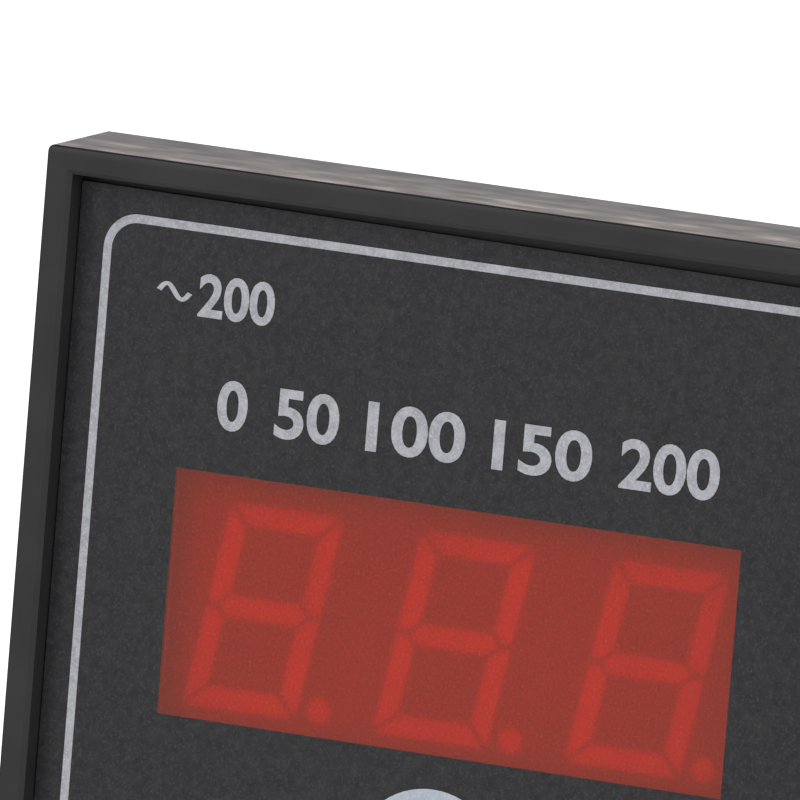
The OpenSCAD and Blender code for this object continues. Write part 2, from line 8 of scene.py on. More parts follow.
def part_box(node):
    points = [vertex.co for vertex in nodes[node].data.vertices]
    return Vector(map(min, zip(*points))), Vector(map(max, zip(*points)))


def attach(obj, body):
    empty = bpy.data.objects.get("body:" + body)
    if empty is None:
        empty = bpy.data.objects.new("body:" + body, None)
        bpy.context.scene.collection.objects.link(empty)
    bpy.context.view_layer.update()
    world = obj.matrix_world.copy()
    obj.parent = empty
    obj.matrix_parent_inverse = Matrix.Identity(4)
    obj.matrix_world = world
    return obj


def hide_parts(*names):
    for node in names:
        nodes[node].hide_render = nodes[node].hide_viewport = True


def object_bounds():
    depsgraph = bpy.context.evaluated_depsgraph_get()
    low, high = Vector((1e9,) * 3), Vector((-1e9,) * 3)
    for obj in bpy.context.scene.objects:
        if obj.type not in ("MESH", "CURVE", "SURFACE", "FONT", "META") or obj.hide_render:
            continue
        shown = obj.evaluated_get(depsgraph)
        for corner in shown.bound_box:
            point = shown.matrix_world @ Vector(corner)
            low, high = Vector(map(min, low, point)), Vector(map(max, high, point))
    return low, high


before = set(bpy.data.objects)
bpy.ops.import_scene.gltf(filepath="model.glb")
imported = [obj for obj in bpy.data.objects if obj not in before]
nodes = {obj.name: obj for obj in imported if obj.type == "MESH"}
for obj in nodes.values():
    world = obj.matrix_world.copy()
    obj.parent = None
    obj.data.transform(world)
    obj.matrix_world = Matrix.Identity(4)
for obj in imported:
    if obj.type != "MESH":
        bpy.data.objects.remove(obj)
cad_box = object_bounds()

# ------------------------------------------------------------------ stage
# A long lens looks at the upper left of the front from its right and a little above it, held with a
# slight turn. The meter hangs over a plain pale floor, under soft light from above, from both sides
# and from behind.

MM = 0.001
LOOK_FROM_RIGHT = math.radians(23.52)
LOOK_FROM_ABOVE = math.radians(8.26)
CAMERA_TURN = math.radians(4.66)
CAMERA_DISTANCE = 836 * MM
AIM_LEFT = 2.87 * MM
AIM_UP = 12.54 * MM
SENSOR = 36
FIELD_AT_AIM = 38.44 * MM
CLIP_NEAR = 0.05
CLIP_FAR = 50
rim_low, rim_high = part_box("front_bezel")

camera_data = bpy.data.cameras.new("camera")
camera = bpy.data.objects.new("camera", camera_data)
bpy.context.scene.collection.objects.link(camera)
bpy.context.scene.camera = camera
back = Vector((math.sin(LOOK_FROM_RIGHT) * math.cos(LOOK_FROM_ABOVE),
               -math.cos(LOOK_FROM_RIGHT) * math.cos(LOOK_FROM_ABOVE),
               math.sin(LOOK_FROM_ABOVE)))
aim = Vector((-AIM_LEFT, rim_low.y, AIM_UP))
right = Vector((math.cos(LOOK_FROM_RIGHT), math.sin(LOOK_FROM_RIGHT), 0))
up = back.cross(right)
turned_right = right * math.cos(CAMERA_TURN) + up * math.sin(CAMERA_TURN)
turned_up = up * math.cos(CAMERA_TURN) - right * math.sin(CAMERA_TURN)
camera.matrix_world = Matrix.Translation(aim + back * CAMERA_DISTANCE) @ Matrix(
    (turned_right, turned_up, back)).transposed().to_4x4()
camera_data.sensor_width = SENSOR
camera_data.lens = SENSOR * CAMERA_DISTANCE / FIELD_AT_AIM
camera_data.clip_start = CLIP_NEAR
camera_data.clip_end = CLIP_FAR


def new_material(name):
    """An empty node tree with its output, as (material, nodes, link function, output)."""
    material = bpy.data.materials.new(name)
    material.use_nodes = True
    tree = material.node_tree
    tree.nodes.clear()
    output = tree.nodes.new("ShaderNodeOutputMaterial")
    return material, tree.nodes, tree.links.new, output


def seen_directly(tree_nodes, link):
    """1 for rays from the camera and for those that pass through the window, else 0."""
    rays = tree_nodes.new("ShaderNodeLightPath")
    either = tree_nodes.new("ShaderNodeMath")
    either.operation = "MAXIMUM"
    link(rays.outputs["Is Camera Ray"], either.inputs[0])
    link(rays.outputs["Is Transmission Ray"], either.inputs[1])
    return either.outputs[0]


FLOOR_HALF = 6.0
FLOOR_DROP = 300 * MM
PAPER_GREY = 0.8
PAPER_GLOW = 0.3
WHITE = 1.0
floor_mesh = bpy.data.meshes.new("floor")
floor_z = cad_box[0].z - FLOOR_DROP
floor_mesh.from_pydata([(-FLOOR_HALF, -FLOOR_HALF, floor_z), (FLOOR_HALF, -FLOOR_HALF, floor_z),
                        (FLOOR_HALF, FLOOR_HALF, floor_z), (-FLOOR_HALF, FLOOR_HALF, floor_z)],
                       [], [(0, 1, 2, 3)])
floor = bpy.data.objects.new("floor", floor_mesh)
bpy.context.scene.collection.objects.link(floor)
floor_material, tree_nodes, link, output = new_material("floor_paper")
paper = tree_nodes.new("ShaderNodeBsdfDiffuse")
paper.inputs["Color"].default_value = (PAPER_GREY, PAPER_GREY, PAPER_GREY, 1)
lift = tree_nodes.new("ShaderNodeEmission")
lift.inputs["Color"].default_value = (0.99, 0.98, 1, 1)
lift_level = tree_nodes.new("ShaderNodeMapRange")
lift_level.inputs["To Min"].default_value = PAPER_GLOW
lift_level.inputs["To Max"].default_value = WHITE
link(seen_directly(tree_nodes, link), lift_level.inputs["Value"])
link(lift_level.outputs["Result"], lift.inputs["Strength"])
both = tree_nodes.new("ShaderNodeAddShader")
link(paper.outputs[0], both.inputs[0])
link(lift.outputs[0], both.inputs[1])
link(both.outputs[0], output.inputs["Surface"])
floor_mesh.materials.append(floor_material)

ROOM_LIGHT = (0.36, 0.355, 0.36, 1)
BACKDROP = (1, 1, 1, 1)
world = bpy.data.worlds.new("studio")
bpy.context.scene.world = world
world.use_nodes = True
world_nodes = world.node_tree.nodes
world_link = world.node_tree.links.new
background = world_nodes["Background"]
mix = world_nodes.new("ShaderNodeMix")
mix.data_type = "RGBA"
mix.inputs["A"].default_value = ROOM_LIGHT
mix.inputs["B"].default_value = BACKDROP
world_link(seen_directly(world_nodes, world_link), mix.inputs["Factor"])
world_link(mix.outputs["Result"], background.inputs["Color"])
background.inputs["Strength"].default_value = WHITE


def softbox(name, place, width, height, power):
    """A rectangular lamp at place, facing the meter, in metres and watts."""
    light = bpy.data.lights.new(name, "AREA")
    light.shape = "RECTANGLE"
    light.size = width
    light.size_y = height
    light.energy = power
    lamp = bpy.data.objects.new(name, light)
    lamp.location = place
    lamp.rotation_mode = "QUATERNION"
    lamp.rotation_quaternion = (-Vector(place)).to_track_quat("-Z", "Y")
    bpy.context.scene.collection.objects.link(lamp)


softbox("lamp_top", (0.1, 0.45, 1.0), 1.0, 0.6, 3.5)
softbox("lamp_left", (-0.6, -0.85, 0.5), 0.7, 0.7, 3.3)
softbox("lamp_right", (0.9, -0.5, 0.6), 0.7, 0.7, 4)
softbox("lamp_rear", (-0.3, 1.0, 0.5), 0.7, 0.6, 1.6)

bpy.context.scene.view_settings.view_transform = "Standard"

# ------------------------------------------------------------------ front bezel
# The square front frame, injection moulded in black ABS with a fine satin surface. It snaps over the
# flange of the case, and its raised rim shields the printed face. Its top side catches the light: its
# colour is a painted sheen, far lighter than the plastic and lightest towards the rim, under the flow
# of the plastic shown as blotches and streaks. The flanks are painted a little lighter as sheen, and
# the round of the outer front edge is painted near black as shade.

HOUSING = "housing"
film_low, film_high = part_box("face_film")
window_low, window_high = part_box("red_window")
INNER_CHAMFER = 0.22 * MM
EDGE_ROUND = 0.08 * MM
ROUND_SHARE = 0.3
RIM_CROWN = 0.025 * MM
CROWN_SHOULDER = 0.45 * MM
CROWN_WIDTH = 0.8 * MM
OUTER_CORNER = 0.34 * MM
SHARP_CORNER = 0.03 * MM
SIDE_TAPER = 0.085 * MM
FILM_GAP = 0.07 * MM
WINDOW_GAP = 0.1 * MM
WINDOW_LIP = 0.8 * MM
WINDOW_LEDGE = 0.4 * MM
CORNER_STEPS = 6
SMOOTH_BELOW = math.radians(30)


def srgb(r, g, b):
    """A linear colour from 8-bit sRGB values."""
    def channel(c):
        c = c / 255
        return c / 12.92 if c <= 0.04045 else ((c + 0.055) / 1.055) ** 2.4
    return (channel(r), channel(g), channel(b), 1)


def object_pattern(tree_nodes, link, scale, detail=2.0, stretch=(1, 1, 1)):
    """A noise on Object coordinates; scale is in repeats per metre."""
    where = tree_nodes.new("ShaderNodeTexCoord")
    place = tree_nodes.new("ShaderNodeMapping")
    place.inputs["Scale"].default_value = stretch
    noise = tree_nodes.new("ShaderNodeTexNoise")
    noise.inputs["Scale"].default_value = scale
    noise.inputs["Detail"].default_value = detail
    link(where.outputs["Object"], place.inputs["Vector"])
    link(place.outputs["Vector"], noise.inputs["Vector"])
    return noise.outputs["Fac"]


def ramp(tree_nodes, link, value, stops):
    """A colour ramp over value with (position, colour) stops."""
    node = tree_nodes.new("ShaderNodeValToRGB")
    marks = node.color_ramp.elements
    while len(marks) < len(stops):
        marks.new(0.5)
    for mark, (position, colour) in zip(marks, stops):
        mark.position = position
        mark.color = colour
    link(value, node.inputs["Fac"])
    return node.outputs["Color"]


def surface(name, dark, light, roughness, grain=4000, grain_depth=0.02, mottle=300,
            metallic=0.0, specular=0.5):
    """A finish whose colour wanders between dark and light, with a fine grain in roughness and height."""
    material, tree_nodes, link, output = new_material(name)
    shader = tree_nodes.new("ShaderNodeBsdfPrincipled")
    shader.inputs["Metallic"].default_value = metallic
    shader.inputs["Specular IOR Level"].default_value = specular
    blotches = object_pattern(tree_nodes, link, mottle, 3.0)
    link(ramp(tree_nodes, link, blotches, [(0.35, dark), (0.65, light)]), shader.inputs["Base Color"])
    fine = object_pattern(tree_nodes, link, grain)
    level = tree_nodes.new("ShaderNodeMapRange")
    level.inputs["To Min"].default_value = max(0.05, roughness - 0.06)
    level.inputs["To Max"].default_value = min(1.0, roughness + 0.06)
    link(fine, level.inputs["Value"])
    link(level.outputs["Result"], shader.inputs["Roughness"])
    bump = tree_nodes.new("ShaderNodeBump")
    bump.inputs["Strength"].default_value = 0.5
    bump.inputs["Distance"].default_value = grain_depth * MM
    link(fine, bump.inputs["Height"])
    link(bump.outputs["Normal"], shader.inputs["Normal"])
    link(shader.outputs["BSDF"], output.inputs["Surface"])
    return material


def streaked_side_painted_sheen(name):
    """The bezel's top side: blotches and streaks along X over a painted sheen, far lighter than the plastic
    and lighter still towards the rim.
    """
    material, tree_nodes, link, output = new_material(name)
    shader = tree_nodes.new("ShaderNodeBsdfPrincipled")
    streaks = object_pattern(tree_nodes, link, 1500, 5.0, (0.25, 1, 1))
    blotches = object_pattern(tree_nodes, link, 750, 4.0, (0.5, 1, 1))
    where = tree_nodes.new("ShaderNodeTexCoord")
    split = tree_nodes.new("ShaderNodeSeparateXYZ")
    link(where.outputs["Object"], split.inputs["Vector"])
    # Painted sheen: the colour is lifted towards the front of the top side and lowered towards its back.
    painted_sheen_lift = tree_nodes.new("ShaderNodeMapRange")
    painted_sheen_lift.inputs["From Min"].default_value = rim_low.y
    painted_sheen_lift.inputs["From Max"].default_value = rim_high.y
    painted_sheen_lift.inputs["To Min"].default_value = 0.11
    painted_sheen_lift.inputs["To Max"].default_value = -0.15
    link(split.outputs["Y"], painted_sheen_lift.inputs["Value"])
    half = tree_nodes.new("ShaderNodeMix")
    half.inputs["Factor"].default_value = 0.6
    link(streaks, half.inputs["A"])
    link(blotches, half.inputs["B"])
    total = tree_nodes.new("ShaderNodeMath")
    total.operation = "ADD"
    link(half.outputs["Result"], total.inputs[0])
    link(painted_sheen_lift.outputs["Result"], total.inputs[1])
    # Painted sheen: the ramp runs far lighter than the black plastic, standing in for the top's reflection
    # of the light.
    link(ramp(tree_nodes, link, total.outputs[0],
              [(0.3, srgb(44, 43, 44)), (0.43, srgb(82, 77, 74)), (0.51, srgb(108, 101, 100)),
               (0.59, srgb(122, 115, 108)), (0.74, srgb(176, 164, 164))]), shader.inputs["Base Color"])
    shader.inputs["Specular IOR Level"].default_value = 0.42
    level = tree_nodes.new("ShaderNodeMapRange")
    level.inputs["To Min"].default_value = 0.36
    level.inputs["To Max"].default_value = 0.66
    link(streaks, level.inputs["Value"])
    link(level.outputs["Result"], shader.inputs["Roughness"])
    bump = tree_nodes.new("ShaderNodeBump")
    bump.inputs["Strength"].default_value = 0.8
    bump.inputs["Distance"].default_value = 0.02 * MM
    link(streaks, bump.inputs["Height"])
    link(bump.outputs["Normal"], shader.inputs["Normal"])
    link(shader.outputs["BSDF"], output.inputs["Surface"])
    return material


def specked(name, dark, light, speck, roughness):
    """A matt grained film or ink: a fine mottle with sparse light specks."""
    material, tree_nodes, link, output = new_material(name)
    shader = tree_nodes.new("ShaderNodeBsdfPrincipled")
    shader.inputs["Specular IOR Level"].default_value = 0.35
    shader.inputs["Roughness"].default_value = roughness
    mottle = object_pattern(tree_nodes, link, 2600, 6.0)
    fine = object_pattern(tree_nodes, link, 8000)
    ground = ramp(tree_nodes, link, mottle, [(0.3, dark), (0.7, light)])
    sparse = ramp(tree_nodes, link, fine, [(0.52, (0, 0, 0, 1)), (0.74, (1, 1, 1, 1))])
    mixed = tree_nodes.new("ShaderNodeMix")
    mixed.data_type = "RGBA"
    mixed.inputs["B"].default_value = speck
    link(sparse, mixed.inputs["Factor"])
    link(ground, mixed.inputs["A"])
    link(mixed.outputs["Result"], shader.inputs["Base Color"])
    bump = tree_nodes.new("ShaderNodeBump")
    bump.inputs["Strength"].default_value = 0.5
    bump.inputs["Distance"].default_value = 0.014 * MM
    link(fine, bump.inputs["Height"])
    link(bump.outputs["Normal"], shader.inputs["Normal"])
    link(shader.outputs["BSDF"], output.inputs["Surface"])
    return material


def finish_node(name, material):
    """Gives a CAD node its finish."""
    mesh = nodes[name].data
    mesh.materials.clear()
    mesh.materials.append(material)


def new_piece(name, solid, materials):
    """An object from a bmesh, with outward normals and smooth shading over shallow edges."""
    bmesh.ops.recalc_face_normals(solid, faces=solid.faces)
    mesh = bpy.data.meshes.new(name)
    solid.to_mesh(mesh)
    solid.free()
    for material in materials:
        mesh.materials.append(material)
    mesh.shade_smooth()
    mesh.set_sharp_from_angle(angle=SMOOTH_BELOW)
    piece = bpy.data.objects.new(name, mesh)
    bpy.context.scene.collection.objects.link(piece)
    return piece


def rectangle_loop(solid, half_x, half_z, corner, y, centre_z=0.0):
    """Vertices round a rectangle with round corners, in the plane y."""
    loop = []
    for quarter, (side_x, side_z) in enumerate(((1, 1), (-1, 1), (-1, -1), (1, -1))):
        for step in range(CORNER_STEPS + 1):
            angle = math.pi / 2 * (quarter + step / CORNER_STEPS)
            loop.append(solid.verts.new((side_x * (half_x - corner) + corner * math.cos(angle), y,
                                         centre_z + side_z * (half_z - corner) + corner * math.sin(angle))))
    return loop


def join_loops(solid, first, second):
    """Quads between two loops, as a list of faces."""
    count = len(first)
    return [solid.faces.new((first[i], first[(i + 1) % count], second[(i + 1) % count], second[i]))
            for i in range(count)]


def bezel_loops(solid):
    """The bezel's section, as loops from its rear outer edge over the rim and back along the inside."""
    front = rim_high.x - SIDE_TAPER
    inner = film_high.x + FILM_GAP
    rim_y = rim_low.y
    wall_y = film_high.y
    opening_x = window_high.x - WINDOW_LIP + WINDOW_GAP
    opening_z = (window_high.z - window_low.z) / 2 - WINDOW_LIP + WINDOW_GAP
    window_z = (window_high.z + window_low.z) / 2

    def square(half, corner, y):
        return rectangle_loop(solid, half, half, corner, y)

    def window(extra, y):
        return rectangle_loop(solid, opening_x + extra, opening_z + extra, SHARP_CORNER, y, window_z)

    return [square(rim_high.x, OUTER_CORNER, 0),
            square(front, OUTER_CORNER, rim_y + RIM_CROWN + EDGE_ROUND),
            square(front - EDGE_ROUND * ROUND_SHARE, OUTER_CORNER,
                   rim_y + RIM_CROWN + EDGE_ROUND * ROUND_SHARE),
            square(front - EDGE_ROUND, OUTER_CORNER - EDGE_ROUND, rim_y + RIM_CROWN),
            square(front - CROWN_SHOULDER, SHARP_CORNER, rim_y + RIM_CROWN * ROUND_SHARE),
            square(front - CROWN_WIDTH, SHARP_CORNER, rim_y),
            square(inner + INNER_CHAMFER, SHARP_CORNER, rim_y),
            square(inner, SHARP_CORNER, rim_y + INNER_CHAMFER),
            square(inner, SHARP_CORNER, wall_y),
            window(0, wall_y),
            window(0, wall_y + WINDOW_LEDGE),
            window(WINDOW_LIP, wall_y + WINDOW_LEDGE),
            window(WINDOW_LIP, window_high.y),
            square(inner, SHARP_CORNER, window_high.y),
            square(inner, SHARP_CORNER, 0)]


bezel_plastic = surface("bezel_plastic", srgb(40, 40, 41), srgb(48, 47, 48), 0.42, grain=7000,
                        grain_depth=0.004, mottle=260, specular=0.4)
# The round of the outer front edge is the same plastic, painted near black as shade.
bezel_edge_painted_shade = surface("bezel_edge_painted_shade", srgb(14, 14, 15), srgb(20, 19, 20), 0.6, grain=7000,
                     grain_depth=0.004, mottle=260, specular=0.25)
# The top side's colour is a painted sheen over its flow streaks.
bezel_top_painted_sheen = streaked_side_painted_sheen("bezel_top_painted_sheen")
# The flanks are the same plastic, painted lighter as a sheen.
bezel_flank_painted_sheen = surface("bezel_flank_painted_sheen", srgb(50, 48, 48), srgb(68, 65, 64), 0.5, grain=7000,
                      grain_depth=0.004, mottle=260, specular=0.4)
finishes = (bezel_plastic, bezel_top_painted_sheen, bezel_flank_painted_sheen, bezel_edge_painted_shade)
solid = bmesh.new()
loops = bezel_loops(solid)
side_loop, edge_loop, round_loop = loops[:3]
for first, second in zip(loops, loops[1:] + loops[:1]):
    for face in join_loops(solid, first, second):
        middle = face.calc_center_median()
        # Painted sheen: the top side and the flanks take lighter copies of the plastic.
        if first is side_loop:
            finish = bezel_top_painted_sheen if abs(middle.z) > abs(middle.x) else bezel_flank_painted_sheen
        # The round of the outer front edge takes the painted shade.
        elif first is edge_loop or first is round_loop:
            finish = bezel_edge_painted_shade
        else:
            finish = bezel_plastic
        face.material_index = finishes.index(finish)
bezel = new_piece("bezel", solid, finishes)
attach(bezel, HOUSING)
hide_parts("front_bezel")

# ------------------------------------------------------------------ face film
# A sheet of matt black polycarbonate film, die cut and stuck into the recess. Its surface is a fine
# random grain that sparkles in specks, and its upper edge stops short of the rim.

film_black = specked("film_black", srgb(35, 34, 37), srgb(51, 51, 52), srgb(63, 63, 66), 0.6)
finish_node("face_film", film_black)

# ------------------------------------------------------------------ print on the film
# Light grey screen print: the border line, a row of plain numbers over the window, a range number with
# a sine mark in the corner and the unit disc with its dark letter. The ink lies 0.03 mm proud.

PRINT_THICKNESS = 0.03 * MM
MERGE_BELOW = 1e-7
FIGURE_THICKNESS = 0.02
FIGURE_BOLDNESS = 0.024
CURVE_STEPS = 6
SINE_STEPS = 32
SINE_HEIGHT = 0.32
SINE_HALF_BAND = 0.085
SINE_THICKNESS = 0.04

print_grey = specked("print_grey", srgb(164, 166, 173), srgb(190, 193, 198), srgb(206, 208, 212), 0.7)
print_white = specked("print_white", srgb(178, 188, 198), srgb(192, 201, 211), srgb(206, 213, 221), 0.7)
print_dark = specked("print_dark", srgb(34, 34, 36), srgb(44, 44, 46), srgb(70, 70, 74), 0.6)
finish_node("print_border", print_grey)
finish_node("print_disc", print_white)


def add_print(name, mesh, left, right_end, foot, head, y, ink):
    """Fits a flat mesh, drawn in X and Y with its thickness in Z, over a field of the film."""
    low = Vector([min(v.co[i] for v in mesh.vertices) for i in range(3)])
    high = Vector([max(v.co[i] for v in mesh.vertices) for i in range(3)])
    across = (right_end - left) / (high.x - low.x)
    upward = (head - foot) / (high.y - low.y)
    through = PRINT_THICKNESS / (high.z - low.z)
    for vertex in mesh.vertices:
        x, z, t = vertex.co - low
        vertex.co = (left + x * across, y - t * through, foot + z * upward)
    solid = bmesh.new()
    solid.from_mesh(mesh)
    bmesh.ops.remove_doubles(solid, verts=solid.verts, dist=MERGE_BELOW)
    piece = new_piece(name, solid, (ink,))
    bpy.data.meshes.remove(mesh)
    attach(piece, HOUSING)
    return piece


def lettering(text):
    """A mesh of bold figures, one unit high."""
    curve = bpy.data.curves.new("figures", "FONT")
    curve.body = text
    curve.extrude = FIGURE_THICKNESS
    curve.offset = FIGURE_BOLDNESS
    curve.resolution_u = CURVE_STEPS
    writing = bpy.data.objects.new("figures", curve)
    bpy.context.scene.collection.objects.link(writing)
    mesh = bpy.data.meshes.new_from_object(
        writing.evaluated_get(bpy.context.evaluated_depsgraph_get()))
    bpy.data.objects.remove(writing)
    bpy.data.curves.remove(curve)
    return mesh


def sine_band():
    """A mesh of one period of a sine wave, drawn as a band of even width."""
    solid = bmesh.new()
    rows = []
    for step in range(SINE_STEPS + 1):
        share = step / SINE_STEPS
        slope = SINE_HEIGHT * 2 * math.pi * math.cos(2 * math.pi * share)
        side = Vector((-slope, 1, 0)).normalized() * SINE_HALF_BAND
        middle = Vector((share, SINE_HEIGHT * math.sin(2 * math.pi * share), 0))
        rows.append([solid.verts.new(middle + side * across + Vector((0, 0, height)))
                     for across, height in ((1, 0), (-1, 0), (-1, SINE_THICKNESS), (1, SINE_THICKNESS))])
    for low_row, high_row in zip(rows, rows[1:]):
        join_loops(solid, low_row, high_row)
    solid.faces.new(rows[0])
    solid.faces.new(rows[-1])
    mesh = bpy.data.meshes.new("sine")
    solid.to_mesh(mesh)
    solid.free()
    return mesh


SCALE_LEFT = -13.0 * MM
SCALE_RIGHT = 13.7 * MM
SCALE_FOOT = 9.62 * MM
SCALE_HEAD = 12.1 * MM
SCALE_NUMBERS = ("0", "50", "100", "150", "200")
FIGURE_WIDTH = 1.8 * MM
FIGURE_GAP = 0.2 * MM
gap = (SCALE_RIGHT - SCALE_LEFT - FIGURE_WIDTH * sum(len(text) for text in SCALE_NUMBERS)) / (
    len(SCALE_NUMBERS) - 1)
start = SCALE_LEFT
for text in SCALE_NUMBERS:
    end = start + FIGURE_WIDTH * len(text)
    number = add_print("number_" + text, lettering(text), start, end - FIGURE_GAP, SCALE_FOOT,
                       SCALE_HEAD, film_low.y, print_grey)
    start = end + gap

RANGE_LEFT = -16.7 * MM
RANGE_RIGHT = -10.4 * MM
RANGE_FOOT = 14.95 * MM
RANGE_HEAD = 17.1 * MM
SINE_WIDTH = 1.9 * MM
SINE_HALF_HEIGHT = 0.45 * MM
SINE_GAP = 0.35 * MM
range_middle = (RANGE_FOOT + RANGE_HEAD) / 2
sine_mark = add_print("sine_mark", sine_band(), RANGE_LEFT, RANGE_LEFT + SINE_WIDTH,
                      range_middle - SINE_HALF_HEIGHT, range_middle + SINE_HALF_HEIGHT, film_low.y,
                      print_grey)
range_number = add_print("range_number", lettering("200"), RANGE_LEFT + SINE_WIDTH + SINE_GAP,
                         RANGE_RIGHT, RANGE_FOOT, RANGE_HEAD, film_low.y, print_grey)

LETTER_HALF = 1.9 * MM
disc_low, disc_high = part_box("print_disc")
disc_z = (disc_low.z + disc_high.z) / 2
add_print("unit_letter", lettering("V"), -LETTER_HALF, LETTER_HALF, disc_z - LETTER_HALF,
          disc_z + LETTER_HALF, disc_low.y, print_dark)

# ------------------------------------------------------------------ red window
# A stepped filter of red acrylic with the same matt grain as the film, set flush from behind. It blurs
# the digits that lie a millimetre and a half below its face.

HAZE_SHARE = 0.35
window_red, tree_nodes, link, output = new_material("window_red")
shader = tree_nodes.new("ShaderNodeBsdfPrincipled")
shader.inputs["Base Color"].default_value = (0.97, 0.04, 0.018, 1)
shader.inputs["Transmission Weight"].default_value = 1.0
shader.inputs["IOR"].default_value = 1.49
shader.inputs["Roughness"].default_value = 0.38
specks = object_pattern(tree_nodes, link, 7500, 3.0)
haze = tree_nodes.new("ShaderNodeBsdfDiffuse")
link(ramp(tree_nodes, link, specks, [(0.35, (0.3, 0.07, 0.042, 1)), (0.6, (0.46, 0.11, 0.065, 1)),
                                     (0.75, (0.7, 0.2, 0.13, 1))]), haze.inputs["Color"])
hazy = tree_nodes.new("ShaderNodeMixShader")
hazy.inputs["Fac"].default_value = HAZE_SHARE
link(shader.outputs["BSDF"], hazy.inputs[1])
link(haze.outputs["BSDF"], hazy.inputs[2])
through = tree_nodes.new("ShaderNodeBsdfTransparent")
through.inputs["Color"].default_value = (0.9, 0.15, 0.1, 1)
rays = tree_nodes.new("ShaderNodeLightPath")
choose = tree_nodes.new("ShaderNodeMixShader")
link(rays.outputs["Is Shadow Ray"], choose.inputs["Fac"])
link(hazy.outputs["Shader"], choose.inputs[1])
link(through.outputs["BSDF"], choose.inputs[2])
link(choose.outputs["Shader"], output.inputs["Surface"])
finish_node("red_window", window_red)

# ------------------------------------------------------------------ display
# A three-digit light-emitting display: a grey moulded block with milky resin segments cast into its
# face, and two rows of tinned pins. It is switched off.

display_grey = surface("display_grey", srgb(146, 138, 136), srgb(156, 148, 146), 0.6, mottle=500)
segment_resin = surface("segment_resin", srgb(238, 232, 226), srgb(246, 240, 234), 0.5, mottle=500)
tinned_wire = surface("tinned_wire", srgb(178, 178, 180), srgb(204, 204, 206), 0.28, metallic=1.0)
finish_node("display_block", display_grey)
finish_node("display_segments", segment_resin)
finish_node("display_pins", tinned_wire)

# ------------------------------------------------------------------ boards and components
# Two round glass-fibre boards, joined by a pin header. The front one carries the display and the
# controller chip; the rear one, clamped by the terminal studs, carries the supply and the trimmer.

board_green = surface("board_green", srgb(22, 74, 46), srgb(30, 92, 58), 0.3, mottle=700)
chip_black = surface("chip_black", srgb(28, 28, 30), srgb(36, 36, 38), 0.55)
gold_pin = surface("gold_pin", srgb(200, 164, 84), srgb(214, 180, 100), 0.25, metallic=1.0)
strip_black = surface("strip_black", srgb(28, 28, 30), srgb(36, 36, 38), 0.4)
capacitor_yellow = surface("capacitor_yellow", srgb(198, 152, 38), srgb(212, 168, 52), 0.35)
can_sleeve = surface("can_sleeve", srgb(38, 50, 78), srgb(48, 62, 94), 0.3)
resistor_body = surface("resistor_body", srgb(182, 156, 112), srgb(198, 174, 130), 0.35)
diode_glass = surface("diode_glass", srgb(156, 58, 40), srgb(176, 74, 52), 0.15)
for node in ("display_board", "power_board"):
    finish_node(node, board_green)
for node in ("controller_chip", "chip_resistors", "bridge_rectifier"):
    finish_node(node, chip_black)
for node in ("chip_leads", "component_leads"):
    finish_node(node, tinned_wire)
finish_node("header_pins", gold_pin)
finish_node("header_strips", strip_black)
finish_node("film_capacitor", capacitor_yellow)
finish_node("electrolytic_capacitor", can_sleeve)
finish_node("dropper_resistor", resistor_body)
finish_node("zener_diode", diode_glass)

# ------------------------------------------------------------------ calibration trimmer
# A single-turn potentiometer on the rear board. A screwdriver reaches its white slotted rotor through
# the hole in the back of the case.

trimmer_blue = surface("trimmer_blue", srgb(36, 88, 156), srgb(48, 106, 178), 0.35)
rotor_white = surface("rotor_white", srgb(228, 224, 210), srgb(240, 236, 222), 0.4)
finish_node("trimmer_body", trimmer_blue)
finish_node("trimmer_rotor", rotor_white)

# ------------------------------------------------------------------ rear case
# A round cup with a square flange, moulded in black ABS. The flange carries the corner studs and snaps
# into the skirt of the front.

case_plastic = surface("case_plastic", srgb(36, 36, 38), srgb(44, 44, 46), 0.5, grain=3200,
                       grain_depth=0.02, mottle=200)
finish_node("rear_case", case_plastic)

# ------------------------------------------------------------------ panel studs
# Zinc-plated steel studs, moulded into the corners of the flange by a hexagonal head and a shoulder.
# Their M3 thread starts at the panel seat, and loose nuts behind the panel hold the meter.

STUD_SPACING = 35.0 * MM
STUD_THREAD = 1.5 * MM
STUD_PITCH = 0.5 * MM
STUD_SHOULDER = 1.75 * MM
STUD_HEAD_AF = 5.5 * MM
STUD_HEAD = 1.8 * MM
STUD_HEAD_CHAMFER = 0.1 * MM
STUD_TIP = 0.4 * MM
STUD_THREAD_START = 0.25 * MM
STUD_THREAD_STOP = 0.3 * MM
CORE_SHARE = 0.5
RIDGE_SHARE = 0.4
RIDGE_SIDES = 6
TURN_STEPS = 24
HEX_SIDES = 6
ROUND_SIDES = 48


def turned_part(solid, x, z, profile, sides):
    """A solid turned about an axis along Y through x and z; profile lists (radius, y) end to end."""
    rings = []
    for radius, y in profile:
        rings.append([solid.verts.new((x + radius * math.cos(2 * math.pi * i / sides), y,
                                       z + radius * math.sin(2 * math.pi * i / sides)))
                      for i in range(sides)])
    for first, second in zip(rings, rings[1:]):
        join_loops(solid, first, second)
    solid.faces.new(rings[0])
    solid.faces.new(rings[-1])


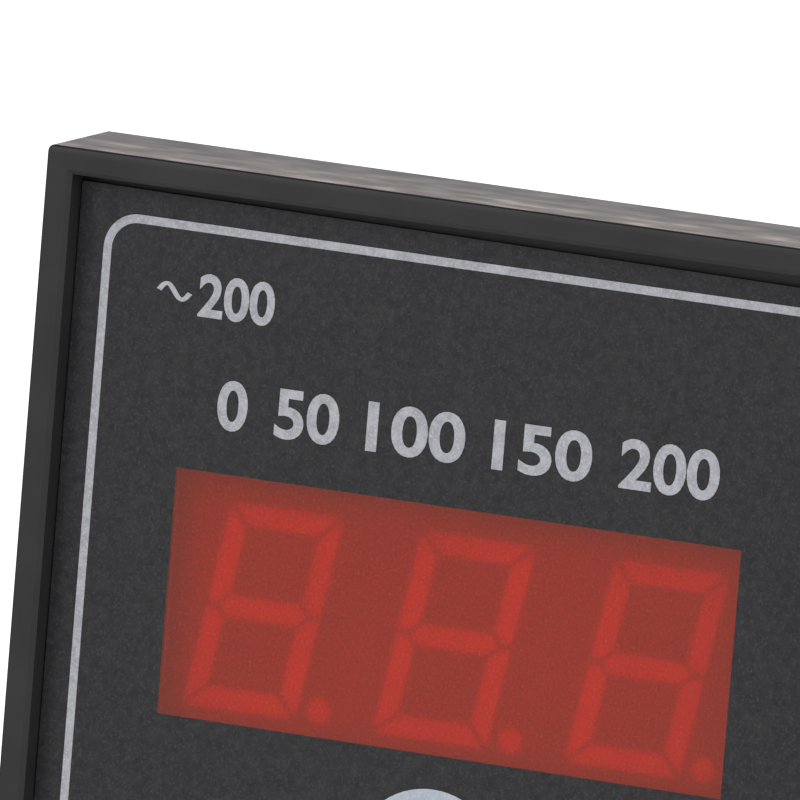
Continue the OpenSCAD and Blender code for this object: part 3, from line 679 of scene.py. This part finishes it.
def thread_group():
    """A node group that winds a ridge round an axis along Y at each point of the mesh it gets."""
    group = bpy.data.node_groups.new("thread_ridge", "GeometryNodeTree")
    sockets = group.interface
    sockets.new_socket("Axes", in_out="INPUT", socket_type="NodeSocketGeometry")
    for label in ("Outer radius", "Pitch", "Start", "End"):
        sockets.new_socket(label, in_out="INPUT", socket_type="NodeSocketFloat")
    sockets.new_socket("Material", in_out="INPUT", socket_type="NodeSocketMaterial")
    sockets.new_socket("Thread", in_out="OUTPUT", socket_type="NodeSocketGeometry")
    add = group.nodes.new
    link = group.links.new
    given = add("NodeGroupInput")
    result = add("NodeGroupOutput")

    def maths(operation, first, second):
        node = add("ShaderNodeMath")
        node.operation = operation
        for socket, value in zip(node.inputs, (first, second)):
            if isinstance(value, (int, float)):
                socket.default_value = value
            else:
                link(value, socket)
        return node.outputs[0]

    ridge = maths("MULTIPLY", given.outputs["Pitch"], RIDGE_SHARE)
    centre = maths("SUBTRACT", given.outputs["Outer radius"], ridge)
    length = maths("SUBTRACT", given.outputs["End"], given.outputs["Start"])
    spiral = add("GeometryNodeCurveSpiral")
    spiral.inputs["Resolution"].default_value = TURN_STEPS
    spiral.inputs["Reverse"].default_value = True
    link(maths("DIVIDE", length, given.outputs["Pitch"]), spiral.inputs["Rotations"])
    link(centre, spiral.inputs["Start Radius"])
    link(centre, spiral.inputs["End Radius"])
    link(length, spiral.inputs["Height"])
    section = add("GeometryNodeCurvePrimitiveCircle")
    section.inputs["Resolution"].default_value = RIDGE_SIDES
    link(ridge, section.inputs["Radius"])
    sweep = add("GeometryNodeCurveToMesh")
    sweep.inputs["Fill Caps"].default_value = True
    link(spiral.outputs["Curve"], sweep.inputs["Curve"])
    link(section.outputs["Curve"], sweep.inputs["Profile Curve"])
    offset = add("ShaderNodeCombineXYZ")
    link(given.outputs["Start"], offset.inputs["Y"])
    lay = add("GeometryNodeTransform")
    lay.inputs["Rotation"].default_value = (-math.pi / 2, 0, 0)
    link(sweep.outputs["Mesh"], lay.inputs["Geometry"])
    link(offset.outputs["Vector"], lay.inputs["Translation"])
    copies = add("GeometryNodeInstanceOnPoints")
    link(given.outputs["Axes"], copies.inputs["Points"])
    link(lay.outputs["Geometry"], copies.inputs["Instance"])
    real = add("GeometryNodeRealizeInstances")
    link(copies.outputs["Instances"], real.inputs["Geometry"])
    paint = add("GeometryNodeSetMaterial")
    link(real.outputs["Geometry"], paint.inputs["Geometry"])
    link(given.outputs["Material"], paint.inputs["Material"])
    link(paint.outputs["Geometry"], result.inputs["Thread"])
    return group


def cut_threads(name, axes, outer, pitch, start, end, material):
    """The threads of several studs as one plain mesh."""
    mesh = bpy.data.meshes.new(name)
    mesh.from_pydata([(x, 0, z) for x, z in axes], [], [])
    thread = bpy.data.objects.new(name, mesh)
    bpy.context.scene.collection.objects.link(thread)
    modifier = thread.modifiers.new("thread", "NODES")
    modifier.node_group = bpy.data.node_groups.get("thread_ridge") or thread_group()
    values = {"Outer radius": outer, "Pitch": pitch, "Start": start, "End": end, "Material": material}
    for item in modifier.node_group.interface.items_tree:
        if item.name in values:
            modifier[item.identifier] = values[item.name]
    thread.update_tag()
    made = bpy.data.meshes.new_from_object(
        thread.evaluated_get(bpy.context.evaluated_depsgraph_get()))
    thread.modifiers.remove(modifier)
    thread.data = made
    bpy.data.meshes.remove(mesh)
    made.name = name
    made.shade_smooth()
    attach(thread, HOUSING)
    return thread


stud_steel = surface("stud_steel", srgb(168, 168, 172), srgb(190, 190, 194), 0.3, metallic=1.0)
studs_low, studs_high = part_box("panel_studs")
half_spacing = STUD_SPACING / 2
stud_axes = [(x, z) for x in (-half_spacing, half_spacing) for z in (-half_spacing, half_spacing)]
head_r = STUD_HEAD_AF / 2 / math.cos(math.pi / 6)
head_end = studs_low.y + STUD_HEAD
core = STUD_THREAD - STUD_PITCH * CORE_SHARE
solid = bmesh.new()
for x, z in stud_axes:
    turned_part(solid, x, z, [(head_r - STUD_HEAD_CHAMFER, studs_low.y),
                              (head_r, studs_low.y + STUD_HEAD_CHAMFER),
                              (head_r, head_end)], HEX_SIDES)
    turned_part(solid, x, z, [(STUD_SHOULDER, head_end), (STUD_SHOULDER, 0), (core, 0),
                              (core, studs_high.y - STUD_TIP),
                              (core - STUD_TIP / 2, studs_high.y)], ROUND_SIDES)
stud_bodies = new_piece("stud_bodies", solid, (stud_steel,))
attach(stud_bodies, HOUSING)
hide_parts("panel_studs")
stud_threads = cut_threads("stud_threads", stud_axes, STUD_THREAD, STUD_PITCH, STUD_THREAD_START,
                           studs_high.y - STUD_THREAD_STOP, stud_steel)

# ------------------------------------------------------------------ terminals
# Two brass M4 studs through the back of the case. The hexagonal head inside clamps the rear board, the
# lock nut draws it up, and the wire nut presses the lead between a flat and a spring washer.

TERMINAL_THREAD = 2.0 * MM
TERMINAL_PITCH = 0.7 * MM
TERMINAL_HEAD_AF = 7.0 * MM
TERMINAL_HEAD = 2.8 * MM
TERMINAL_HEAD_CHAMFER = 0.15 * MM
TERMINAL_HEAD_BEVEL = 0.12 * MM
TERMINAL_SHANK_STOP = 1 * MM
TERMINAL_TIP = 0.5 * MM
TERMINAL_TIP_CHAMFER = 0.3 * MM
TERMINAL_THREAD_START = 0.7 * MM
TERMINAL_THREAD_STOP = 0.4 * MM

terminal_brass = surface("terminal_brass", srgb(190, 162, 98), srgb(206, 180, 116), 0.3, grain=6000,
                         grain_depth=0.003, metallic=1.0)
spring_steel = surface("spring_steel", srgb(140, 140, 144), srgb(160, 160, 164), 0.35, metallic=1.0)
for node in ("terminal_washers", "lock_nuts", "wire_washers", "wire_nuts"):
    finish_node(node, terminal_brass)
finish_node("spring_washers", spring_steel)

posts_low, posts_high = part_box("terminal_studs")
case_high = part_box("rear_case")[1]
head_r = TERMINAL_HEAD_AF / 2 / math.cos(math.pi / 6)
post_x = posts_high.x - head_r
post_z = (posts_low.z + posts_high.z) / 2
post_axes = [(-post_x, post_z), (post_x, post_z)]
head_end = posts_low.y + TERMINAL_HEAD
shank_end = case_high.y - TERMINAL_SHANK_STOP
core = TERMINAL_THREAD - TERMINAL_PITCH * CORE_SHARE
solid = bmesh.new()
for x, z in post_axes:
    turned_part(solid, x, z, [(head_r - TERMINAL_HEAD_CHAMFER, posts_low.y),
                              (head_r, posts_low.y + TERMINAL_HEAD_BEVEL),
                              (head_r, head_end)], HEX_SIDES)
    turned_part(solid, x, z, [(TERMINAL_THREAD, head_end), (TERMINAL_THREAD, shank_end),
                              (core, shank_end), (core, posts_high.y - TERMINAL_TIP),
                              (core - TERMINAL_TIP_CHAMFER, posts_high.y)], ROUND_SIDES)
terminal_posts = new_piece("terminal_posts", solid, (terminal_brass,))
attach(terminal_posts, HOUSING)
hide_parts("terminal_studs")
terminal_threads = cut_threads("terminal_threads", post_axes, TERMINAL_THREAD, TERMINAL_PITCH,
                               case_high.y - TERMINAL_THREAD_START,
                               posts_high.y - TERMINAL_THREAD_STOP, terminal_brass)
